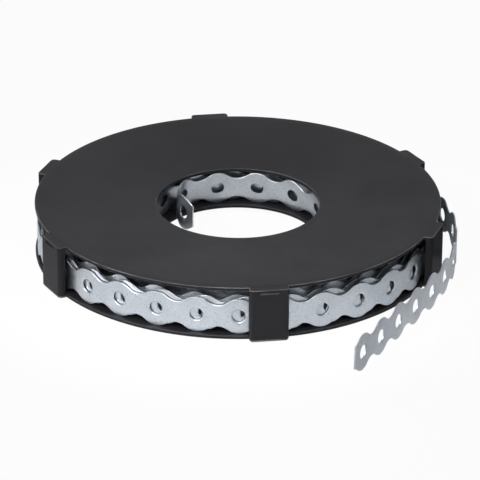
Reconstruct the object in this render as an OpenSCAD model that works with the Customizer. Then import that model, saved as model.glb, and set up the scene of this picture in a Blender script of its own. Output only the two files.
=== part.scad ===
// Perforated steel strap, coiled flat in a two-disc dispenser cassette.
// The strap's outer end runs out between two posts and lies free beside it.
// All sizes in mm. The coil axis is +Z and the cassette stands on z = 0.

/* [Strap] */
// width over the rounded crests
strap_width = 17; // [12:0.5:26]
// width at the waist between two holes
waist_width = 10.3; // [6:0.1:18]
// sheet thickness
strap_thick = 0.8; // [0.5:0.1:1.5]
// hole spacing along the strap
hole_pitch = 19.2; // [12:0.1:30]
// hole diameter
hole_d = 6.3; // [3:0.1:10]
// radius of the hollow between two crests
hollow_r = 7.2; // [4:0.1:12]

/* [Coil] */
// distance of the outermost turn inside the rim of the discs
outer_inset = 3.5; // [2:0.1:12]
// distance of the innermost turn behind the edge of the centre opening
inner_inset = 1.9; // [1:0.1:12]
// angle at which the strap starts to leave the coil
leave_angle = 60; // [0:1:359]
// grooves on each end of the wound core
groove_count = 8; // [2:1:20]
// depth of those grooves
groove_depth = 1.2; // [0.4:0.1:3]

/* [Ends of the strap] */
// bends of the free end from the coil outward, each [links, share of the outermost turn's bend]
free_bends = [[4, 0.815], [2, 0.882], [2, 0.649], [2, 0.441], [4, 0]];
// slope of the free end outside the cassette
free_rise = 3.9; // [0:0.1:15]
// links of the free end before it starts to rise
rise_start = 3; // [0:1:13]
// links over which the slope builds up
rise_links = 3; // [1:1:10]
// bends of the inner end, each [links, turn of one link]
curl_bends = [[1, 26], [1, 74], [1, 30]];
// angle at which the inner end starts
curl_angle = 90.4; // [0:0.1:359]

/* [Cassette] */
// disc diameter
disc_d = 190; // [120:1:300]
// disc thickness
disc_thick = 1.8; // [1:0.1:4]
// centre opening diameter
opening_d = 76.2; // [40:0.1:140]
// how far each disc leans inward at its opening
dish = 2.5; // [0:0.1:6]
// width of the flat ring at the rim
rim_land = 4; // [1:0.5:12]

/* [Posts] */
// post directions round the rim
post_angles = [29.5, 98.5, 159.5, 209.5, 278.5, 339.5];
// post width
post_width = 17.8; // [8:0.1:30]
// clearance between a post and the rim of the lower disc
post_gap = 0.2; // [0.1:0.1:3]
// post thickness
post_thick = 3.2; // [1:0.1:8]
// radius of a post's outer corners
post_corner = 1.7; // [0.5:0.1:3]
// width of the catch slit near a post's top
slit_width = 8.5; // [3:0.1:14]
// height of that slit
slit_height = 1; // [0.5:0.1:3]
// depth of that slit
slit_depth = 0.6; // [0.2:0.1:2]

/* [Hidden] */
// clearances: strap to disc, core to its neighbour turns, and the trim where two bends meet
seat_gap = 0.1;
turn_gap = 1;
seam = 0.1;
// the crests' circle stands this far beyond the strap's width, which cuts its top flat
crest_ease = 0.1;
// a count of links that lies well before any rise, for a level run
level = -1000;
crest_r = strap_width / 2 + crest_ease;
crest_flat = hole_pitch / 6;
cut_reach = 2 * strap_width;
hollow_z = waist_width / 2 + hollow_r;
shoulder_z = crest_r * hollow_z / norm([hole_pitch / 2, hollow_z]);
disc_r = disc_d / 2;
opening_r = opening_d / 2;
land_r = disc_r - rim_land;
outer_turn_r = disc_r - outer_inset;
inner_turn_r = opening_r + inner_inset;
post_inner = disc_r + post_gap;
post_outer = post_inner + post_thick;
cassette_h = strap_width + 2 * (disc_thick + dish + seat_gap);
outer_step = hole_pitch / outer_turn_r * 180 / PI;
inner_step = hole_pitch / inner_turn_r * 180 / PI;
outer_links = floor(360 / outer_step) - 1;
inner_links = floor(360 / inner_step) - 1;
free_run = [for (b = free_bends) [b[0], b[1] * outer_step]];
core_out = outer_turn_r - strap_thick / 2 - turn_gap;
core_in = inner_turn_r + strap_thick / 2 + turn_gap;
groove_step = (core_out - core_in) / (groove_count + 0.5);

// height on which the strap stands at radius r
function seat(r) = disc_thick + seat_gap + dish * max(0, (land_r - r) / (land_r - opening_r));

// one groove of a coil end, as points of the turned outline
function groove(i, up) = let (r = core_in + groove_step * (i + 0.75), z = seat(r) + (up ? strap_width : 0))
    [[r - groove_step / 4, z], [r, z + (up ? -groove_depth : groove_depth)], [r + groove_step / 4, z]];

// what is cut away beside a waist, above and below the strap
module waist_cut() {
    half = hole_pitch / 2;
    for (y = [0, 1])
        mirror([0, y])
            difference() {
                union() {
                    translate([0, hollow_z]) circle(r = hollow_r, $fn = 40);
                    translate([crest_flat / 3 - half, shoulder_z])
                        square([hole_pitch - crest_flat * 2 / 3, cut_reach]);
                }
                for (x = [-half, half])
                    translate([x, 0]) circle(r = crest_r, $fn = 40);
            }
}

// what is cut away at a crest: the hole, and the sheet beyond the strap's width
module crest_cut() {
    circle(d = hole_d, $fn = 24);
    for (y = [0, 1])
        mirror([0, y])
            translate([-crest_flat / 2, strap_width / 2]) square([crest_flat, cut_reach]);
}

// slope and height of the strap, k links from the start of the rise
function slope(k) = free_rise * min(1, max(0, k / rise_links));
function lift(k) = k <= 0 ? 0 : lift(k - 0.5) + hole_pitch / 2 * sin(slope(k - 0.25));

// stands its flat children on the strap's face, k links from the start of the rise
module on_face(k) {
    translate([0, 0, lift(k)])
        rotate([0, -slope(k), 0])
            rotate([90, 0, 0])
                linear_extrude(height = 12 * strap_thick, center = true)
                    children();
}

// goes along a bend of the given turn: from heading +X at the origin towards -Y
module along(turn, links) {
    if (turn == 0) {
        translate([links * hole_pitch, 0, 0]) children();
    } else {
        r = hole_pitch / turn * 180 / PI;
        translate([0, -r, 0]) rotate([0, 0, -turn * links]) translate([0, r, 0]) children();
    }
}

// an even bend of the strap, k links from the start of the rise
module bend(links, turn, k = level) {
    low = lift(k) - strap_width;
    high = lift(k + links) + strap_width;
    difference() {
        if (turn == 0) {
            translate([seam, -strap_thick / 2, low])
                cube([links * hole_pitch - 2 * seam, strap_thick, high - low]);
        } else {
            r = hole_pitch / turn * 180 / PI;
            trim = seam / r * 180 / PI;
            translate([0, -r, 0])
                rotate([0, 0, 90 - turn * links + trim])
                    rotate_extrude(angle = turn * links - 2 * trim, $fn = 90)
                        translate([r - strap_thick / 2, low])
                            square([strap_thick, high - low]);
        }
        for (i = [0:links]) along(turn, i) on_face(k + i) waist_cut();
        for (i = [0:links - 1]) along(turn, i + 0.5) on_face(k + i + 0.5) crest_cut();
    }
}

// joins two bends inside the sheet, so the solids overlap at the seam
module joint(k) {
    translate([0, 0, lift(k)])
        rotate([0, -slope(k), 0])
            cube([16 * seam, 0.75 * strap_thick, waist_width - 4 * seam], center = true);
}

// bends laid end to end, each [links, turn of one link]
module run(bends, k = level, i = 0) {
    if (i < len(bends)) {
        if (i > 0) joint(k);
        bend(bends[i][0], bends[i][1], k);
        along(bends[i][1], bends[i][0]) run(bends, k + bends[i][0], i + 1);
    }
}

// puts its children on a turn of radius r, heading clockwise
module on_turn(r, angle) {
    rotate([0, 0, angle])
        translate([r, 0, seat(r) + strap_width / 2])
            rotate([0, 0, -90])
                children();
}

// the turns between the outermost and the innermost, as one turned solid
module coil() {
    low = [for (i = [0:groove_count - 1]) each groove(i, false)];
    high = [for (i = [groove_count - 1:-1:0]) let (g = groove(i, true)) each [g[2], g[1], g[0]]];
    color([0.66, 0.68, 0.71])
        rotate_extrude($fn = 90)
            polygon(concat(
                [[core_in, seat(core_in)]], low, [[core_out, seat(core_out)]],
                [[core_out, seat(core_out) + strap_width]], high, [[core_in, seat(core_in) + strap_width]]));
}

// the outermost turn, up to where it starts to leave the coil
module strap_outer() {
    color([0.72, 0.74, 0.77])
        on_turn(outer_turn_r, leave_angle + outer_links * outer_step)
            bend(outer_links, outer_step);
}

// the free end
module strap_free() {
    color([0.72, 0.74, 0.77])
        on_turn(outer_turn_r, leave_angle)
            run(free_run, -rise_start);
}

// the innermost turn and its end, curled into the opening
module strap_inner() {
    color([0.72, 0.74, 0.77])
        on_turn(inner_turn_r, curl_angle) {
            bend(inner_links, inner_step);
            mirror([1, 0, 0]) run(curl_bends);
            joint(level);
        }
}

// the leaning part of a disc
module dished_ring() {
    rotate_extrude($fn = 120)
        polygon([
            [opening_r, dish], [land_r, 0],
            [land_r, disc_thick], [opening_r, dish + disc_thick]]);
}

// plan of a post, from y = inner to its rounded outer face
module post_plan(inner) {
    translate([-post_width / 2, inner])
        square([post_width, post_outer - post_corner - inner]);
    translate([-post_width / 2 + post_corner, inner])
        square([post_width - 2 * post_corner, post_outer - inner]);
    for (x = [-1, 1])
        translate([x * (post_width / 2 - post_corner), post_outer - post_corner])
            circle(r = post_corner, $fn = 24);
}

// turns its children to each post's place
module at_posts() {
    for (a = post_angles)
        rotate([0, 0, a - 90]) children();
}

// the flat rim of a disc, with the tabs that carry the posts
module flat_rim() {
    linear_extrude(height = disc_thick)
        difference() {
            union() {
                circle(r = disc_r, $fn = 120);
                at_posts() post_plan((land_r + disc_r) / 2);
            }
            circle(r = land_r, $fn = 120);
        }
}

// a post stands between the tabs of the two discs
module post() {
    difference() {
        translate([0, 0, disc_thick])
            linear_extrude(height = cassette_h - 2 * disc_thick)
                post_plan(post_inner);
        translate([-slit_width / 2, post_outer - slit_depth, cassette_h - disc_thick - slit_height / 2])
            cube([slit_width, post_thick, slit_height]);
    }
}

module plate() {
    union() {
        dished_ring();
        flat_rim();
    }
}

module cassette_bottom() {
    color([0.17, 0.17, 0.18]) plate();
}

module cassette_top() {
    color([0.17, 0.17, 0.18])
        translate([0, 0, cassette_h]) mirror([0, 0, 1]) plate();
}

module posts() {
    color([0.17, 0.17, 0.18])
        at_posts() post();
}

coil();
strap_outer();
strap_free();
strap_inner();
posts();
cassette_top();
cassette_bottom();
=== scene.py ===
import bpy, bmesh, math
import numpy as np
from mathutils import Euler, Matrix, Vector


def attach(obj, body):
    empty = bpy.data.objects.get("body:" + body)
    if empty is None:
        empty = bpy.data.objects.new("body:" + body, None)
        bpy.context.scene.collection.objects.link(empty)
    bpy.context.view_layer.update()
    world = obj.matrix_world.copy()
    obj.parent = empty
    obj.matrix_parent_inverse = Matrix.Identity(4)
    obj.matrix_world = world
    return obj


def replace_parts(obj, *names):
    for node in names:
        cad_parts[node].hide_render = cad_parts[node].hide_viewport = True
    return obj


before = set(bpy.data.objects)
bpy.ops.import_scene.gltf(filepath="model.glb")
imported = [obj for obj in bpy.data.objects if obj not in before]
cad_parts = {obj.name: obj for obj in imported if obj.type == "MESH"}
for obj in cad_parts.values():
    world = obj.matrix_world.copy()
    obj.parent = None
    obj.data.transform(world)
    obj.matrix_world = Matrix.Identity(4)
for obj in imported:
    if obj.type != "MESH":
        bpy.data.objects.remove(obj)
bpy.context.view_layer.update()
mm = 0.001
tiny = 1e-6
sharpAngle = 50     # degrees; edges bent more than this stay sharp
weldGap = 4e-6      # metres; points nearer than this are one


# short ways to make and join shader nodes
def put(nt, kind, **values):
    n = nt.nodes.new(kind)
    for key, value in values.items():
        if hasattr(n, key):
            setattr(n, key, value)
        else:
            n.inputs[key.replace("_", " ")].default_value = value
    return n


def feed(nt, socket, x):
    # a number is set on the socket, anything else is linked to it
    if isinstance(x, (int, float)):
        socket.default_value = x
    else:
        nt.links.new(x, socket)


def mathNode(nt, op, a, b):
    n = put(nt, "ShaderNodeMath", operation=op)
    feed(nt, n.inputs[0], a)
    feed(nt, n.inputs[1], b)
    return n.outputs[0]


def spread(nt, x, lo, hi, toLo=0.0, toHi=1.0):
    n = nt.nodes.new("ShaderNodeMapRange")
    labels = ("Value", "From Min", "From Max", "To Min", "To Max")
    for label, value in zip(labels, (x, lo, hi, toLo, toHi)):
        feed(nt, n.inputs[label], value)
    return n.outputs["Result"]


def blendColor(nt, fac, a, b):
    n = put(nt, "ShaderNodeMix", data_type="RGBA")
    nt.links.new(fac, n.inputs["Factor"])
    for value, name in ((a, "A"), (b, "B")):
        socket = [s for s in n.inputs if s.name == name and s.type == "RGBA"][0]
        if isinstance(value, tuple):
            socket.default_value = (*value, 1)
        else:
            nt.links.new(value, socket)
    return [s for s in n.outputs if s.type == "RGBA"][0]


def mixShaders(nt, share, one, two, out):
    mix = nt.nodes.new("ShaderNodeMixShader")
    nt.links.new(share, mix.inputs[0])
    nt.links.new(one.outputs[0], mix.inputs[1])
    nt.links.new(two.outputs[0], mix.inputs[2])
    nt.links.new(mix.outputs[0], out.inputs["Surface"])


# camera, light and floor
studio = {
    "camPlace": (0.00112, -1.50382, 0.72693),
    "camTurn": (64.316, -0.288, 0.139),
    "lens": 265.87, "sensor": 36, "clip": (0.01, 50),
    "floorHalf": 6.0,                   # half the floor's side
    "floorTint": (0.60, 0.60, 0.605),
    "floorFarShade": (0.26, 0.265, 0.28),    # painted shade: the floor is painted darker further off, in place of light falling off, so the free end mirrors a darker floor
    "floorFade": (0.125, 0.165),        # how far from the middle it goes over from one to the other
    "whiteToEye": 0.95,     # share of plain white in what the camera sees of the floor
    "whiteToMetal": 0.08,   # and in what shiny surfaces see of it
    "skyTint": (0.93, 0.96, 1.0),
    "skyFront": 0.44,       # level of the sky before the object
    "skyBack": 0.12,        # high up behind it
    "skyLow": 0.75,         # and behind it near the floor
    "lowTop": 0.65,         # sine of the height at which that band has faded
    "skyTurn": 0.5,         # how far to the front and back the two halves run into each other
    # name, place, aimed at, width, height, watts, spread, tint
    "lamps": [
        ("keyLeft", (-0.95, -0.55, 0.92), (0, 0, 0.01), 0.35, 0.35, 11.0, 180, (1.0, 0.99, 0.98)),
        ("softTop", (0.05, -0.50, 1.10), (0, 0, 0), 0.9, 0.4, 5.0, 180, (0.98, 0.99, 1.0)),
        ("lowFront", (-0.10, -0.40, 0.30), (-0.03, -0.16, 0), 0.3, 0.15, 0.25, 50, (1.0, 1.0, 1.0)),
        ("backStrip", (0, 1.50, 0.44), (0, 0, 0.02), 1.4, 0.35, 1.8, 180, (0.97, 0.98, 1.0)),
        ("sideRight", (1.20, -0.50, 0.14), (0.05, -0.06, 0.02), 0.6, 0.2, 0.5, 180, (0.96, 0.98, 1.0)),
        ("sideLeft", (-1.15, -0.72, 0.12), (-0.05, -0.06, 0.02), 0.6, 0.2, 1.2, 180, (0.98, 0.99, 1.0)),
    ],
}


def makeCamera(v):
    cam = bpy.data.objects.new("camera", bpy.data.cameras.new("camera"))
    cam.data.sensor_width, cam.data.lens = v["sensor"], v["lens"]
    cam.data.clip_start, cam.data.clip_end = v["clip"]
    cam.location = v["camPlace"]
    cam.rotation_euler = Euler([math.radians(a) for a in v["camTurn"]])
    bpy.context.collection.objects.link(cam)
    bpy.context.scene.camera = cam
    bpy.context.scene.view_settings.view_transform = "Standard"


def makeLamps(v):
    for name, place, aim, wide, high, watts, spreadAngle, tint in v["lamps"]:
        lamp = bpy.data.lights.new(name, "AREA")
        lamp.shape, lamp.size, lamp.size_y = "RECTANGLE", wide, high
        lamp.energy, lamp.color, lamp.spread = watts, tint, math.radians(spreadAngle)
        ob = bpy.data.objects.new(name, lamp)
        ob.location = place
        ob.rotation_euler = (Vector(aim) - Vector(place)).to_track_quat("-Z", "Y").to_euler()
        bpy.context.collection.objects.link(ob)


def makeSky(v):
    # even before the object, brighter low down behind it, and plain white to the camera
    world = bpy.data.worlds.new("studioSky")
    bpy.context.scene.world = world
    world.use_nodes = True
    nt = world.node_tree
    nt.nodes.clear()
    co, axes = nt.nodes.new("ShaderNodeTexCoord"), nt.nodes.new("ShaderNodeSeparateXYZ")
    nt.links.new(co.outputs["Generated"], axes.inputs[0])
    band = spread(nt, axes.outputs["Z"], 0.0, v["lowTop"], v["skyLow"], v["skyBack"])
    level = spread(nt, axes.outputs["Y"], -v["skyTurn"], v["skyTurn"], v["skyFront"], band)
    sky = put(nt, "ShaderNodeBackground", Color=(*v["skyTint"], 1))
    nt.links.new(level, sky.inputs["Strength"])
    white = put(nt, "ShaderNodeBackground", Color=(1, 1, 1, 1))
    path, out = nt.nodes.new("ShaderNodeLightPath"), nt.nodes.new("ShaderNodeOutputWorld")
    mixShaders(nt, path.outputs["Is Camera Ray"], sky, white, out)


def makeFloor(v):
    h = v["floorHalf"]
    me = bpy.data.meshes.new("floor")
    me.from_pydata([(-h, -h, 0), (h, -h, 0), (h, h, 0), (-h, h, 0)], [], [(0, 1, 2, 3)])
    floor = bpy.data.objects.new("floor", me)
    bpy.context.collection.objects.link(floor)
    mat = bpy.data.materials.new("paleFloor")
    mat.use_nodes = True
    nt = mat.node_tree
    nt.nodes.clear()
    co = nt.nodes.new("ShaderNodeTexCoord")
    reach = put(nt, "ShaderNodeVectorMath", operation="LENGTH")
    nt.links.new(co.outputs["Object"], reach.inputs[0])
    # painted shade: the floor's paint darkens away from the middle, and shiny parts mirror that darker
    # floor
    fade = spread(nt, reach.outputs["Value"], *v["floorFade"])
    paint = nt.nodes.new("ShaderNodeBsdfDiffuse")
    nt.links.new(blendColor(nt, fade, v["floorTint"], v["floorFarShade"]), paint.inputs["Color"])
    glow = put(nt, "ShaderNodeEmission", Color=(1, 1, 1, 1))
    path, out = nt.nodes.new("ShaderNodeLightPath"), nt.nodes.new("ShaderNodeOutputMaterial")
    shiny = mathNode(nt, "MAXIMUM", path.outputs["Is Glossy Ray"], path.outputs["Is Transmission Ray"])
    toMetal = mathNode(nt, "MULTIPLY", shiny, v["whiteToMetal"])
    toEye = mathNode(nt, "MULTIPLY", path.outputs["Is Camera Ray"], v["whiteToEye"])
    mixShaders(nt, mathNode(nt, "MAXIMUM", toEye, toMetal), paint, glow, out)
    me.materials.append(mat)


makeCamera(studio)
makeLamps(studio)
makeSky(studio)
makeFloor(studio)
print("studio ready")


# surface effects that both materials share
def newGroup(name, inputs, outputs):
    g = bpy.data.node_groups.new(name, "ShaderNodeTree")
    for label, value in inputs:
        s = g.interface.new_socket(label, in_out="INPUT", socket_type="NodeSocketFloat")
        s.default_value = value
    for label in outputs:
        g.interface.new_socket(label, in_out="OUTPUT", socket_type="NodeSocketFloat")
    return g, g.nodes.new("NodeGroupInput"), g.nodes.new("NodeGroupOutput")


def makeMottle():
    # cloudy patches and fine specks, from 0 to 1
    g, gi, go = newGroup("mottle", [("Patch Scale", 120.0), ("Speck Scale", 900.0)],
                         ["Patches", "Specks"])
    co = g.nodes.new("ShaderNodeTexCoord")
    patch = put(g, "ShaderNodeTexNoise", Detail=5.0, Roughness=0.6)
    speck = put(g, "ShaderNodeTexNoise", Detail=2.0, Roughness=0.5)
    for tex, label in ((patch, "Patch Scale"), (speck, "Speck Scale")):
        g.links.new(co.outputs["Object"], tex.inputs["Vector"])
        g.links.new(gi.outputs[label], tex.inputs["Scale"])
    g.links.new(spread(g, patch.outputs["Fac"], lo=0.3, hi=0.7), go.inputs["Patches"])
    g.links.new(spread(g, speck.outputs["Fac"], lo=0.35, hi=0.65), go.inputs["Specks"])
    return g


def makeScuffs():
    # short thin scratches lying in all directions, as a mask
    g, gi, go = newGroup("scuffs", [("Scale", 60.0), ("Amount", 0.5)], ["Mask"])
    co = g.nodes.new("ShaderNodeTexCoord")
    lines = []
    for turn, stretch in ((0.4, 14.0), (1.5, 18.0), (2.4, 11.0)):
        place = put(g, "ShaderNodeMapping", Rotation=(0.2, 0.1, turn),
                    Scale=(1.0, stretch, stretch * 0.4))
        tex = put(g, "ShaderNodeTexNoise", Detail=2.0, Roughness=0.4)
        g.links.new(co.outputs["Object"], place.inputs["Vector"])
        g.links.new(place.outputs[0], tex.inputs["Vector"])
        g.links.new(gi.outputs["Scale"], tex.inputs["Scale"])
        lines.append(spread(g, tex.outputs["Fac"], lo=0.70, hi=0.76))
    both = mathNode(g, "MAXIMUM", mathNode(g, "MAXIMUM", lines[0], lines[1]), lines[2])
    g.links.new(mathNode(g, "MULTIPLY", both, gi.outputs["Amount"]), go.inputs["Mask"])
    return g


def makeEdgeMask():
    # 1 on the rounded edges that each mesh marks in an attribute: a painted highlight line on the
    # plastic, the cut edges' own tone on the strap; less where the patches break them up
    g, gi, go = newGroup("edgeMask", [("Breaks", 0.5)], ["Mask"])
    edge = put(g, "ShaderNodeAttribute", attribute_name="edgeToneAndHighlight")
    co = g.nodes.new("ShaderNodeTexCoord")
    tex = put(g, "ShaderNodeTexNoise", Scale=55.0, Detail=3.0)
    g.links.new(co.outputs["Object"], tex.inputs["Vector"])
    gaps = mathNode(g, "MULTIPLY", spread(g, tex.outputs["Fac"], lo=0.4, hi=0.6), gi.outputs["Breaks"])
    mask = mathNode(g, "MULTIPLY", edge.outputs["Fac"], mathNode(g, "SUBTRACT", 1.0, gaps))
    g.links.new(mask, go.inputs["Mask"])
    return g


mottle, scuffs, edgeMask = makeMottle(), makeScuffs(), makeEdgeMask()


def useGroup(nt, group, **values):
    n = nt.nodes.new("ShaderNodeGroup")
    n.node_tree = group
    for key, value in values.items():
        n.inputs[key.replace("_", " ")].default_value = value
    return n


def newMaterial(name):
    mat = bpy.data.materials.new(name)
    mat.use_nodes = True
    nt = mat.node_tree
    return mat, nt, nt.nodes["Principled BSDF"]


def addBump(nt, shader, height, strength, depth):
    bump = put(nt, "ShaderNodeBump", Strength=strength, Distance=depth)
    nt.links.new(height, bump.inputs["Height"])
    nt.links.new(bump.outputs["Normal"], shader.inputs["Normal"])


# zinc plated steel
zinc = {
    "bright": (0.62, 0.655, 0.695),
    "dull": (0.53, 0.565, 0.605),
    "speck": (0.30, 0.32, 0.35),
    "cutEdge": (0.66, 0.68, 0.71),
    "patchScale": 70.0, "speckScale": 1500.0,
    "speckFrom": 0.78, "speckFull": 0.95, "speckShare": 0.5,   # only the strongest specks show
    "scuffScale": 140.0, "scuffAmount": 0.6, "scuffRough": 0.12,
    "edgeBreaks": 0.3,
    "roughLow": 0.30, "roughHigh": 0.42,
    "bump": 0.10, "bumpDeep": 0.0002,
}


def makeZinc(v):
    mat, nt, sh = newMaterial("zincPlate")
    m = useGroup(nt, mottle, Patch_Scale=v["patchScale"], Speck_Scale=v["speckScale"])
    s = useGroup(nt, scuffs, Scale=v["scuffScale"], Amount=v["scuffAmount"])
    e = useGroup(nt, edgeMask, Breaks=v["edgeBreaks"])
    flecks = spread(nt, m.outputs["Specks"], v["speckFrom"], v["speckFull"])
    tone = blendColor(nt, m.outputs["Patches"], v["bright"], v["dull"])
    tone = blendColor(nt, mathNode(nt, "MULTIPLY", flecks, v["speckShare"]), tone, v["speck"])
    nt.links.new(blendColor(nt, e.outputs["Mask"], tone, v["cutEdge"]), sh.inputs["Base Color"])
    rough = spread(nt, m.outputs["Patches"], 0, 1, v["roughLow"], v["roughHigh"])
    scuffed = mathNode(nt, "MULTIPLY", s.outputs["Mask"], v["scuffRough"])
    nt.links.new(mathNode(nt, "ADD", rough, scuffed), sh.inputs["Roughness"])
    sh.inputs["Metallic"].default_value = 1.0
    addBump(nt, sh, m.outputs["Specks"], v["bump"], v["bumpDeep"])
    return mat


# moulded black plastic
blackPlastic = {
    "base": (0.0092, 0.0088, 0.0106),
    "wearAndHighlight": (0.023, 0.022, 0.025),
    # painted highlight: the light line drawn along the marked rounded edges of discs and posts
    "edge": (0.28, 0.28, 0.285),
    "patchScale": 28.0, "patchShare": 0.3,
    "grainScale": 2600.0, "grain": 0.10, "grainDeep": 0.0002,
    "scuffScale": 45.0, "scuffAmount": 0.35, "scuffShare": 0.5,
    "edgeBreaks": 0.6, "edgeShare": 0.6,
    "roughLow": 0.41, "roughHigh": 0.53,
    "gloss": 0.15,
}


def makePlastic(v):
    mat, nt, sh = newMaterial("blackPlastic")
    m = useGroup(nt, mottle, Patch_Scale=v["patchScale"], Speck_Scale=v["grainScale"])
    s = useGroup(nt, scuffs, Scale=v["scuffScale"], Amount=v["scuffAmount"])
    e = useGroup(nt, edgeMask, Breaks=v["edgeBreaks"])
    tone = v["base"]
    # mottle patches and scuffs take the worn tint; the marked edges take the painted highlight tint
    for mask, share, tint in ((m.outputs["Patches"], "patchShare", "wearAndHighlight"),
                              (s.outputs["Mask"], "scuffShare", "wearAndHighlight"),
                              (e.outputs["Mask"], "edgeShare", "edge")):
        tone = blendColor(nt, mathNode(nt, "MULTIPLY", mask, v[share]), tone, v[tint])
    nt.links.new(tone, sh.inputs["Base Color"])
    rough = spread(nt, m.outputs["Patches"], 0, 1, v["roughLow"], v["roughHigh"])
    nt.links.new(rough, sh.inputs["Roughness"])
    sh.inputs["Specular IOR Level"].default_value = v["gloss"]
    addBump(nt, sh, m.outputs["Specks"], v["grain"], v["grainDeep"])
    return mat


zincMat, plasticMat = makeZinc(zinc), makePlastic(blackPlastic)
print("materials ready")


def finishPiece(name, bm, mat):
    me = bpy.data.meshes.new(name)
    bmesh.ops.recalc_face_normals(bm, faces=bm.faces)
    bm.to_mesh(me)
    bm.free()
    for p in me.polygons:
        p.use_smooth = True
    me.set_sharp_from_angle(angle=math.radians(sharpAngle))
    me.materials.append(mat)
    ob = bpy.data.objects.new(name, me)
    bpy.context.collection.objects.link(ob)
    ob.modifiers.new("flatFacesStayFlat", "WEIGHTED_NORMAL").keep_sharp = True
    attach(ob, "root")
    print(name, len(me.polygons), "faces")
    return ob


# cassette: two dished discs and the posts round the rim; all sizes in mm
cassette = {
    "rimR": 95.0, "openR": 38.1, "height": 25.8, "thick": 1.8, "dish": 2.5, "land": 4.0,
    "edge": 0.6, "mouthEdge": 0.5, "steps": 288,
    "postAngles": (29.5, 98.5, 159.5, 209.5, 278.5, 339.5),
    "postWidth": 17.8, "postGap": 0.2, "postThick": 3.2, "postCorner": 1.7, "cornerSteps": 6,
    "tabReach": 1.2,                    # how far a post's head and foot reach over the rim
    "headEdge": 0.3, "headBevel": 0.3,  # rounding of a post's head, and the middle of it
    "footEdge": 0.9, "footBevel": (0.35, 0.3),
    "flush": 0.04,                      # how far the posts keep off the faces of the discs
    "lowerHighlight": 0.2, "footHighlightLine": 0.4,  # the painted highlight line is fainter on the lower disc; width of the painted highlight line at a foot
    "slitWidth": 8.5, "slitHeight": 1.0, "slitDepth": 0.6,
}


def roundCorners(points, radii, steps=4):
    # replaces each corner of a closed outline by an arc; the third value is 1 in the middle of an arc
    out = []
    n = len(points)
    for i in range(n):
        p, a, b = Vector(points[i]), Vector(points[i - 1]), Vector(points[(i + 1) % n])
        if radii[i] == 0:
            out.append((p.x, p.y, 0.0))
            continue
        u, w = (a - p).normalized(), (b - p).normalized()
        half = u.angle(w) / 2
        reach = radii[i] / math.tan(half)
        mid = p + (u + w).normalized() * radii[i] / math.sin(half)
        s, e = p + u * reach - mid, p + w * reach - mid
        turn = s.angle_signed(e)
        for k in range(steps + 1):
            c, d = math.cos(-turn * k / steps), math.sin(-turn * k / steps)
            out.append((mid.x + s.x * c - s.y * d, mid.y + s.x * d + s.y * c, float(2 * k == steps)))
    return out


def joinRings(bm, one, two):
    n = len(one)
    for i in range(n):
        j = (i + 1) % n
        bm.faces.new((one[i], one[j], two[j], two[i]))


def makeDisc(name, upper, v):
    landR = v["rimR"] - v["land"]
    outline = [(v["openR"], v["dish"]), (landR, 0), (v["rimR"], 0), (v["rimR"], v["thick"]),
               (landR, v["thick"]), (v["openR"], v["dish"] + v["thick"])]
    e, m = v["edge"], v["mouthEdge"]
    bm = bmesh.new()
    edgeLayer = bm.verts.layers.float.new("edgeToneAndHighlight")
    rings = []
    for r, z, wearAndHighlight in roundCorners(outline, [m, 0, e, e, 0, m]):
        if upper:
            z = v["height"] - z
        ring = []
        for i in range(v["steps"]):
            a = 2 * math.pi * i / v["steps"]
            ring.append(bm.verts.new((r * math.cos(a) * mm, r * math.sin(a) * mm, z * mm)))
            # painted highlight line in the middle of the rounded edges, fainter on the lower disc
            ring[-1][edgeLayer] = wearAndHighlight * (1 if upper else v["lowerHighlight"])
        rings.append(ring)
    for one, two in zip(rings, rings[1:] + rings[:1]):
        joinRings(bm, one, two)
    return finishPiece(name, bm, plasticMat)


def postRing(v, inner, inset):
    # plan of a post, from its inner face to its rounded outer corners
    half, outer = v["postWidth"] / 2 - inset, v["rimR"] + v["postGap"] + v["postThick"] - inset
    corners = [(-half, inner), (half, inner), (half, outer), (-half, outer)]
    c = v["postCorner"]
    return [(x, y) for x, y, mid in roundCorners(corners, [0, 0, c, c], v["cornerSteps"])]


def makePosts(v):
    inner, tab = v["rimR"] + v["postGap"], v["rimR"] - v["tabReach"]
    top, t = v["height"] - v["flush"], v["thick"]
    head, foot = v["headEdge"], v["footEdge"]
    headMid = head * v["headBevel"]
    footUp, footIn = (foot * share for share in v["footBevel"])
    # height, how far in, inset of the outline, weight of the painted highlight line
    levels = [(v["flush"], tab, foot, 0), (footUp, tab, footIn, 0), (foot, tab, 0, 1),
              (foot + v["footHighlightLine"], tab, 0, 0), (t, tab, 0, 0),
              (t, inner, 0, 0), (v["height"] - t, inner, 0, 0), (v["height"] - t, tab, 0, 0),
              (top - head, tab, 0, 0), (top - headMid, tab, headMid, 1), (top, tab, head, 0)]
    bm = bmesh.new()
    edgeLayer = bm.verts.layers.float.new("edgeToneAndHighlight")
    for angle in v["postAngles"]:
        a = math.radians(angle - 90)
        rings = []
        for z, reach, inset, wearAndHighlight in levels:
            ring = []
            for x, y in postRing(v, reach, inset):
                place = (x * math.cos(a) - y * math.sin(a), x * math.sin(a) + y * math.cos(a), z)
                ring.append(bm.verts.new([c * mm for c in place]))
                ring[-1][edgeLayer] = wearAndHighlight
            rings.append(ring)
        for one, two in zip(rings, rings[1:]):
            joinRings(bm, one, two)
        bm.faces.new(rings[0][::-1])
        bm.faces.new(rings[-1])
    posts = finishPiece("rimPosts", bm, plasticMat)
    cutSlits(posts, v)
    return posts


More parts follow.
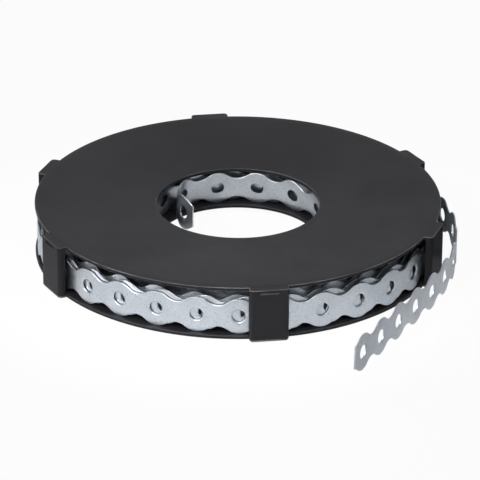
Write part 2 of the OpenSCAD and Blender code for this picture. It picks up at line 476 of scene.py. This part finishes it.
def cutSlits(posts, v):
    # the short catch slit under each post's head
    bm = bmesh.new()
    outer = v["rimR"] + v["postGap"] + v["postThick"]
    for angle in v["postAngles"]:
        made = bmesh.ops.create_cube(bm, size=1)["verts"]
        size = Vector((v["slitWidth"], v["slitDepth"] * 2, v["slitHeight"])) * mm
        bmesh.ops.scale(bm, vec=size, verts=made)
        bmesh.ops.translate(bm, vec=Vector((0, outer, v["height"] - v["thick"])) * mm, verts=made)
        turn = Euler((0, 0, math.radians(angle - 90))).to_matrix()
        bmesh.ops.rotate(bm, cent=(0, 0, 0), matrix=turn, verts=made)
    me = bpy.data.meshes.new("slitCutter")
    bm.to_mesh(me)
    bm.free()
    cutter = bpy.data.objects.new("slitCutter", me)
    bpy.context.collection.objects.link(cutter)
    cut = posts.modifiers.new("slits", "BOOLEAN")
    cut.operation, cut.solver, cut.object = "DIFFERENCE", "EXACT", cutter
    posts.modifiers.move(len(posts.modifiers) - 1, 0)
    deps = bpy.context.evaluated_depsgraph_get()
    posts.data = bpy.data.meshes.new_from_object(posts.evaluated_get(deps))
    posts.modifiers.clear()
    bpy.data.objects.remove(cutter)


upperDisc = makeDisc("upperDisc", True, cassette)
lowerDisc = makeDisc("lowerDisc", False, cassette)
rimPosts = makePosts(cassette)
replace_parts(upperDisc, "cassette_top")
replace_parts(lowerDisc, "cassette_bottom")
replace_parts(rimPosts, "posts")
print("cassette ready")


# strap: its route, then its sheet; all sizes in mm
strap = {
    "width": 17.0, "waist": 10.3, "thick": 0.8, "pitch": 19.2, "hole": 6.3, "hollow": 7.2,
    "edge": 0.16, "endEdge": 0.30,      # rounding of the sheet's edges, in the coil and on the open ends
    "rollWide": 1.4, "rollDeep": 0.33, "rollBack": 0.06,   # rolled-in rim of a hole, and behind
    "leaveAngle": 61.0,
    # bends of the free end from the coil outward: links, share of the outer turn's bend
    "freeBends": [(4, 0.815), (2, 0.882), (2, 0.649), (2, 0.441), (4, 0.0)],
    "freeRise": 3.9, "riseStart": 3, "riseLinks": 3,
    # radius of each loose turn at these angles, outermost first
    "looseAngles": (60, 105, 150, 190, 240, 315),
    "looseTurns": [
        (91.5, 89.6, 91.8, 94.2, 91.7, 94.0),
        (90.1, 86.9, 89.3, 92.9, 90.4, 92.6),
        (88.9, 85.8, 87.8, 90.2, 87.6, 90.9),
        (85.6, 79.9, 80.6, 81.6, 80.6, 89.2),
        (84.2, 78.9, 79.6, 80.4, 79.5, 87.5),
        (82.8, 77.9, 78.6, 79.2, 78.4, 85.8),
        (81.4, 76.9, 77.6, 78.1, 77.4, 84.2),
    ],
    "lastLoose": 75.2, "turns": 25, "innerR": 40.0,
    "innerSlack": 1.6,                  # the innermost turn stands this much further off its neighbour
    "waver": 0.35, "waverRate": 2.3,    # the wound turns waver in and out by this much
    "wave": 0.25, "waveRate": 1.37, "waveShift": 0.6,   # and the outer ones up and down
    "waveFrom": 60.0, "waveOver": 25.0, "waveAfter": 1.3,   # fading in over radius and over turns
    # how far the second turn has slipped up, between which turns, and how steeply it starts
    "raised": (0.35, 1.15, 1.80), "raisedShape": 0.7,
    # how far the loose turns lean in: turns from the start, degrees
    "looseLean": [(1.5, 0), (1.66, 3), (1.8, 3), (1.9, 0), (2.12, 0), (2.25, 4), (2.36, 11.5),
                  (2.53, 11.5), (2.7, 8.6), (3, 10), (3.2, 12), (9, 12), (20, 0)],
    "innerLean": 10.0,                  # the innermost turn leans over the opening
    "leanTurns": (2.6, 1.0), "leanLinks": (1.0, 2.5),   # from how far before the curl, to how far into it
    "curlAngle": 90.4, "curlBends": [21.2, 71.9, 56.6], "curlDroop": 0.5, "droopShape": 1.5,
    "endCut": 7.0, "tipCut": 8.3,       # where the two ends are cut, from the last hole
    "seatGap": 0.1,                     # the strap stands this far off the lower disc
    "outerLinks": 30, "looseLinks": 200, "innerLinks": 13,   # where one piece passes into the next
    "raysOpen": 36, "raysCoil": 24,     # points round a hole, where it is seen well and where it is not
    "knotStep": 0.25,                   # the wound turns have a knot at each such part of a turn
    "perLink": 24, "perTurn": 720,      # points of the route
    "soften": 60,                       # over how many of them the radius is smoothed, to each side
    "linkFit": 1e-4,                    # how closely whole links have to fill the coil
    "headingReach": 0.8,                # the strap's heading is taken this far to both sides
}


def seatHeight(r, v, disc):
    # height on which the strap stands on the dished lower disc
    landR = disc["rimR"] - disc["land"]
    lean = np.clip((landR - r) / (landR - disc["openR"]), 0, None)
    return disc["thick"] + v["seatGap"] + disc["dish"] * lean


def coilRadius(v, swell):
    # radius over the winding angle, in turns inward from where the strap leaves
    knots, radii = [], []
    for k, row in enumerate(v["looseTurns"]):
        for angle, r in zip(v["looseAngles"], row):
            knots.append(k + (angle - v["leaveAngle"]) / 360)
            radii.append(r)
    first = len(v["looseTurns"])
    end = v["turns"] + (v["curlAngle"] - v["leaveAngle"]) / 360
    for m in np.arange(first, end, v["knotStep"]):
        t = (m - first) / (end - first)
        base = v["lastLoose"] + (v["innerR"] - v["lastLoose"]) * t
        base += v["innerSlack"] * min(1, end - m) * t
        waver = v["waver"] * math.sin(m * v["waverRate"]) * math.sin(math.pi * t)
        knots.append(m)
        radii.append(base + waver + swell * math.sin(math.pi * t))
    knots.append(end)
    radii.append(v["innerR"])
    m = np.arange(0, end, 1 / v["perTurn"])
    r = np.interp(m, knots, radii)
    pad = v["soften"]
    wide = np.concatenate([np.full(pad, r[0]), r, np.full(pad, r[-1])])
    soft = np.hanning(2 * pad + 1)
    r = np.convolve(wide, soft / soft.sum(), "valid")
    return np.append(m, end), np.append(r, v["innerR"])


def coilRoute(v, disc):
    # adjusts the slack so that a whole number of links fits
    swell, links = 0.0, None
    for attempt in range(12):
        m, r = coilRadius(v, swell)
        a = np.radians(v["leaveAngle"] + 360 * m)
        xy = np.stack([r * np.cos(a), r * np.sin(a)], 1)
        run = np.concatenate([[0], np.cumsum(np.hypot(*np.diff(xy, axis=0).T))])
        links = links or round(run[-1] / v["pitch"])
        off = links * v["pitch"] - run[-1]
        if abs(off) < v["linkFit"]:
            break
        swell += off / (4 * (v["turns"] - len(v["looseTurns"])))   # each wound turn grows by 4 swells
    wave = v["wave"] * (1 + np.sin(m * 2 * math.pi * v["waveRate"] + v["waveShift"]))
    wave *= np.clip((r - v["waveFrom"]) / v["waveOver"], 0, 1) * np.clip(m / v["waveAfter"], 0, 1)
    high, start, stop = v["raised"]
    hump = np.clip((m - start) / (stop - start), 0, 1)
    lift = wave + high * np.sin(math.pi * hump) ** v["raisedShape"]
    z = seatHeight(r, v, disc) + v["width"] / 2 + lift
    return run, np.column_stack([xy, z]), links, m


def bendOut(start, heading, bends, side, v):
    # points along a row of even bends
    pos, out, h = np.array(start, float), [np.array(start, float)], heading
    for links, turn in bends:
        steps = int(links * v["perLink"])
        th = math.radians(turn) * links / steps * side
        for i in range(steps):
            h += th / 2
            pos = pos + v["pitch"] / v["perLink"] * np.array([math.cos(h), math.sin(h)])
            h += th / 2
            out.append(pos)
    return np.array(out)


def freeRoute(start, v):
    # the free end, from the coil outward
    fullBend = math.degrees(v["pitch"] / v["looseTurns"][0][0])
    bends = [(n, share * fullBend) for n, share in v["freeBends"]]
    xy = bendOut(start[:2], math.radians(v["leaveAngle"]) - math.pi / 2, bends, -1, v)
    k = np.arange(len(xy)) / v["perLink"] - v["riseStart"]
    slope = np.radians(v["freeRise"]) * np.clip(k / v["riseLinks"], 0, 1)
    steps = np.sin((slope[1:] + slope[:-1]) / 2) * v["pitch"] / v["perLink"]
    return np.column_stack([xy, start[2] + np.concatenate([[0], np.cumsum(steps)])])


def curlRoute(start, v):
    # the inner end, from the coil into the opening
    bends = [(1, turn) for turn in v["curlBends"]]
    xy = bendOut(start[:2], math.radians(v["curlAngle"]) + math.pi / 2, bends, 1, v)
    fall = np.linspace(0, 1, len(xy)) ** v["droopShape"] * v["curlDroop"]
    return np.column_stack([xy, start[2] - fall])


def strapRoute(v, disc):
    # one route from the free end's tip to the inner end's tip: run, then x, y, z and lean
    run, pts, links, m = coilRoute(v, disc)
    free, curl = freeRoute(pts[0], v), curlRoute(pts[-1], v)
    freeRun = np.arange(len(free))[::-1] / v["perLink"] * -v["pitch"]
    curlRun = run[-1] + np.arange(len(curl)) / v["perLink"] * v["pitch"]
    allRun = np.concatenate([freeRun[:-1], run, curlRun[1:]])
    allPts = np.concatenate([free[::-1][:-1], pts, curl[1:]])
    loose = np.interp(m, *zip(*v["looseLean"]))
    end, turn, full = links * v["pitch"], 2 * math.pi * v["innerR"], v["innerLean"]
    stops = [end - n * turn for n in v["leanTurns"]] + [end + n * v["pitch"] for n in v["leanLinks"]]
    lean = np.interp(allRun, stops, [0, full, full, 0]) + np.interp(allRun, run, loose)
    return allRun, np.column_stack([allPts, np.radians(lean)]), links


def linkEdge(v, rays):
    # outline of a link, one point for each ray round its hole
    half, crest = v["pitch"] / 2, v["width"] / 2
    waistZ = v["waist"] / 2
    hollowZ = waistZ + v["hollow"]
    far = math.hypot(half, hollowZ)
    meetX, meetZ = crest * half / far, crest * hollowZ / far   # where hollow and crest meet
    nEnd, nHollow = max(2, rays // 12), max(2, rays // 10)   # the rest of a quarter goes to the crest
    nCrest = rays // 4 - nEnd - nHollow
    quarter = [(half, waistZ * i / nEnd) for i in range(nEnd)]
    a0, a1 = math.pi * 1.5, math.atan2(meetZ - hollowZ, meetX - half) % (2 * math.pi)
    for i in range(nHollow):
        a = a0 + (a1 - a0) * i / nHollow
        quarter.append((half + v["hollow"] * math.cos(a), hollowZ + v["hollow"] * math.sin(a)))
    b0 = math.atan2(meetZ, meetX)
    for i in range(nCrest):
        a = b0 + (math.pi / 2 - b0) * i / nCrest
        quarter.append((crest * math.cos(a), crest * math.sin(a)))
    upper = quarter + [(0.0, crest)] + [(-x, z) for x, z in quarter[:0:-1]]
    return np.array(upper + [(-x, -z) for x, z in upper]).T


def sheetRings(v, x, z, ox, oz, ang, fine):
    # rings of points from one face of the sheet round to the other: (along, up, out)
    t, r, e, w = v["thick"] / 2, v["hole"] / 2, v["edge"], v["rollWide"]
    c, d = np.cos(ang), np.sin(ang)
    rollShape = ((0, 1), (0.08, 0.72), (0.34, 0.36), (0.66, 0.11), (1, 0))   # shares of width and depth
    bevel = 0.29    # the middle of a rounded edge, as a share of its radius

    def around(k, n):
        return ((r + k) * c, (r + k) * d, n)

    def inside(k, n):
        return (x - ox * k, z - oz * k, n)

    def halfway(one, two):
        return ((one[0] + two[0]) / 2, (one[1] + two[1]) / 2, t)

    def finish(front, back):
        return front + [(a, b, -n) for a, b, n in back[::-1]]

    if not fine:
        face = [around(0, t), halfway(around(0, t), inside(0, t)), inside(0, t)]
        return finish(face, face)

    def oneFace(depth):
        roll = [around(share * w, t - deep * depth) for share, deep in rollShape]
        return roll + [halfway(around(w, t), inside(e, t)), inside(e, t),
                       inside(bevel * e, t - bevel * e), inside(0, t - e)]

    return finish(oneFace(v["rollDeep"]), oneFace(v["rollBack"]))


def sheetMesh(name, route, firstLink, lastLink, rays, fine, v, tip=None, end=None):
    # the flat links are laid out first and then set on the route
    allRun, allPts = route
    x, z = linkEdge(v, rays)
    n = len(x)
    half, waist = v["pitch"] / 2, v["waist"] / 2
    atEnd = np.abs(np.abs(x) - half) < tiny
    # outward direction of the outline, for the rounded edges
    dx, dz = np.roll(x, -1) - np.roll(x, 1), np.roll(z, -1) - np.roll(z, 1)
    ln = np.hypot(dx, dz)
    ox, oz = dz / ln, -dx / ln
    corner = atEnd & (np.abs(np.abs(z) - waist) < tiny)
    ox[atEnd] = 0.0
    oz[atEnd] = np.where(corner, np.sign(z), 0.0)[atEnd]
    rings = sheetRings(v, x, z, ox, oz, np.arctan2(z, x), fine)
    count = len(rings)
    middle = count // 2
    rim = range(middle - 3, middle + 2) if fine else range(middle - 1, middle)   # the cut edge
    verts, faces, wearAndHighlight = [], [], []
    for link in range(firstLink, lastLink):
        s0 = (link + 0.5) * v["pitch"]
        low = -tip if tip and link == firstLink else -half
        high = end if end and link == lastLink - 1 else half
        base = len(verts)
        for k, (rx, rz, rn) in enumerate(rings):
            wearAndHighlight += [float(fine and k in rim[1:])] * n
            for i in range(n):
                verts.append((s0 + min(max(-rx[i], low), high), rz[i], rn))
        for k in range(count):
            kk = (k + 1) % count
            for i in range(n):
                j = (i + 1) % n
                if k in rim and atEnd[i] and atEnd[j]:   # closed only at the two ends of the piece
                    closed = (link == lastLink - 1 and x[i] < 0) or (link == firstLink and x[i] > 0)
                    if not closed:
                        continue
                faces.append((base + k * n + i, base + k * n + j, base + kk * n + j, base + kk * n + i))
    flat = np.array(verts)
    s, reach = flat[:, 0], v["headingReach"]
    at = np.stack([np.interp(s, allRun, allPts[:, i]) for i in range(4)], 1)
    d = np.stack([np.interp(s + reach, allRun, allPts[:, i]) - np.interp(s - reach, allRun, allPts[:, i])
                  for i in range(3)], 1)
    d /= np.linalg.norm(d, axis=1)[:, None]
    side = np.stack([d[:, 1], -d[:, 0], np.zeros(len(d))], 1)   # away from the coil axis
    side /= np.linalg.norm(side, axis=1)[:, None]
    up = np.cross(side, d)
    up *= np.sign(up[:, 2:3])
    cosL, sinL = np.cos(at[:, 3:4]), np.sin(at[:, 3:4])
    up, side = up * cosL - side * sinL, side * cosL + up * sinL
    pts = at[:, :3] + up * flat[:, 1:2] + side * flat[:, 2:3]
    me = bpy.data.meshes.new(name)
    me.from_pydata([tuple(p) for p in pts * mm], [], faces)
    bm = bmesh.new()
    bm.from_mesh(me)
    bpy.data.meshes.remove(me)
    edgeLayer = bm.verts.layers.float.new("edgeToneAndHighlight")
    for vert, value in zip(bm.verts, wearAndHighlight):
        vert[edgeLayer] = value
    bmesh.ops.remove_doubles(bm, verts=bm.verts, dist=weldGap)
    return finishPiece(name, bm, zincMat)


def makeStrap(v, disc):
    allRun, allPts, coilLinks = strapRoute(v, disc)
    route = (allRun, allPts)
    freeLinks = sum(n for n, share in v["freeBends"])
    outer, loose, inner = v["outerLinks"], v["looseLinks"], coilLinks - v["innerLinks"]
    end = coilLinks + len(v["curlBends"])
    openEnds = dict(v, edge=v["endEdge"])
    many, few = v["raysOpen"], v["raysCoil"]
    free = sheetMesh("strapFree", route, -freeLinks, 0, many, True, openEnds, tip=v["tipCut"])
    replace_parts(free, "strap_free")
    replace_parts(sheetMesh("strapOuter", route, 0, outer, many, True, v), "strap_outer")
    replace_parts(sheetMesh("strapLoose", route, outer, loose, few, True, v), "coil")
    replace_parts(sheetMesh("strapWound", route, loose, inner, few, False, v), "coil")
    curl = sheetMesh("strapInner", route, inner, end, many, True, openEnds, end=v["endCut"])
    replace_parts(curl, "strap_inner")
    print("strap has", freeLinks + end, "links")


makeStrap(strap, cassette)
